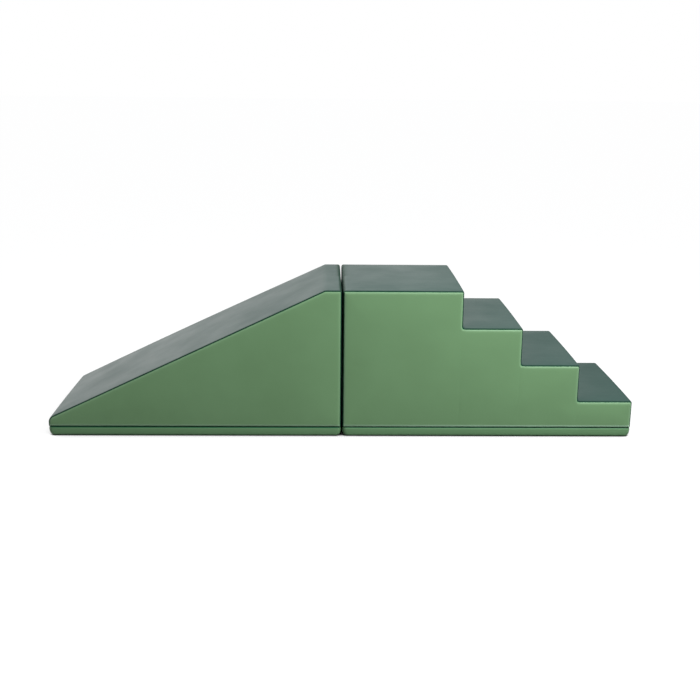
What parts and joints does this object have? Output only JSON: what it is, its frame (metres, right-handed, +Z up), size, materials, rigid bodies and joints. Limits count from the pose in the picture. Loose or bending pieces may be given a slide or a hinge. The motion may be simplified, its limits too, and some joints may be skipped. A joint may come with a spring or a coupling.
{
  "type": "soft play climber",
  "caption": "Soft play climber of foam blocks in zipped covers: a slide wedge with a short nose and landing, end to end with a flight of steps.",
  "frame": {"origin": "on the floor, half way along the climber and half way across its depth", "axes": "+X along the climber from the slide's toe to the lowest step, +Y from the front to the back, +Z up"},
  "size_m": [2.3564, 0.606, 0.603],
  "materials": {
    "side_cover": "smooth coated polyurethane fabric, satin, light green",
    "top_cover": "smooth coated polyurethane fabric, satin, dark green",
    "foam": "open-cell polyurethane foam, cream",
    "base_fabric": "dotted non-slip base fabric, dark",
    "zip_tape": "woven polyester tape, dark green",
    "zip_coil": "nylon coil, dark green",
    "zip_metal": "plated zinc, satin",
    "hook_tape": "nylon hook tape, dark",
    "loop_tape": "nylon loop tape, dark"
  },
  "bodies": {
    "steps_block": {"steps_front_side_panel": "side_cover", "steps_back_side_panel": "side_cover", "steps_top_run": "top_cover", "steps_inner_end_panel": "top_cover", "steps_base_band": "side_cover", "steps_base_panel": "base_fabric", "steps_zip_upper_tape": "zip_tape", "steps_zip_lower_tape": "zip_tape", "steps_zip_upper_coil": "zip_coil", "steps_zip_lower_coil": "zip_coil", "steps_zip_top_stop": "zip_metal", "steps_zip_bottom_stop": "zip_metal", "steps_foam_slab_1": "foam", "steps_foam_slab_2": "foam", "steps_foam_slab_3": "foam", "steps_foam_slab_4": "foam", "steps_front_loop_strip": "loop_tape", "steps_back_loop_strip": "loop_tape"},
    "slide_block": {"slide_front_side_panel": "side_cover", "slide_back_side_panel": "side_cover", "slide_top_run": "top_cover", "slide_inner_end_panel": "top_cover", "slide_base_band": "side_cover", "slide_base_panel": "base_fabric", "slide_zip_upper_tape": "zip_tape", "slide_zip_lower_tape": "zip_tape", "slide_zip_upper_coil": "zip_coil", "slide_zip_lower_coil": "zip_coil", "slide_zip_top_stop": "zip_metal", "slide_zip_bottom_stop": "zip_metal", "slide_foam_wedge": "foam", "slide_front_hook_strip": "hook_tape", "slide_back_hook_strip": "hook_tape"},
    "steps_zip_slider": {"steps_zip_slider": "zip_metal"},
    "slide_zip_slider": {"slide_zip_slider": "zip_metal"},
    "steps_zip_puller": {"steps_zip_puller": "zip_metal"},
    "slide_zip_puller": {"slide_zip_puller": "zip_metal"}
  },
  "joints": [
    {"name": "slide_block_pull_off", "type": "slide", "parent": "steps_block", "child": "slide_block", "axis": [-1, 0, 0], "range_m": [0, 0.3]},
    {"name": "steps_zip_slider_run", "type": "slide", "parent": "steps_block", "child": "steps_zip_slider", "axis": [-1, 0, 0], "range_m": [0, 1.03]},
    {"name": "steps_zip_puller_hinge", "type": "hinge", "parent": "steps_zip_slider", "child": "steps_zip_puller", "pos_m": [1.11005, 0.2963, 0.038], "axis": [0, 0, -1], "range_deg": [0, 180]},
    {"name": "slide_zip_slider_run", "type": "slide", "parent": "slide_block", "child": "slide_zip_slider", "axis": [1, 0, 0], "range_m": [0, 1.03]},
    {"name": "slide_zip_puller_hinge", "type": "hinge", "parent": "slide_zip_slider", "child": "slide_zip_puller", "pos_m": [-1.11005, 0.2963, 0.038], "axis": [0, 0, 1], "range_deg": [0, 180]}
  ]
}
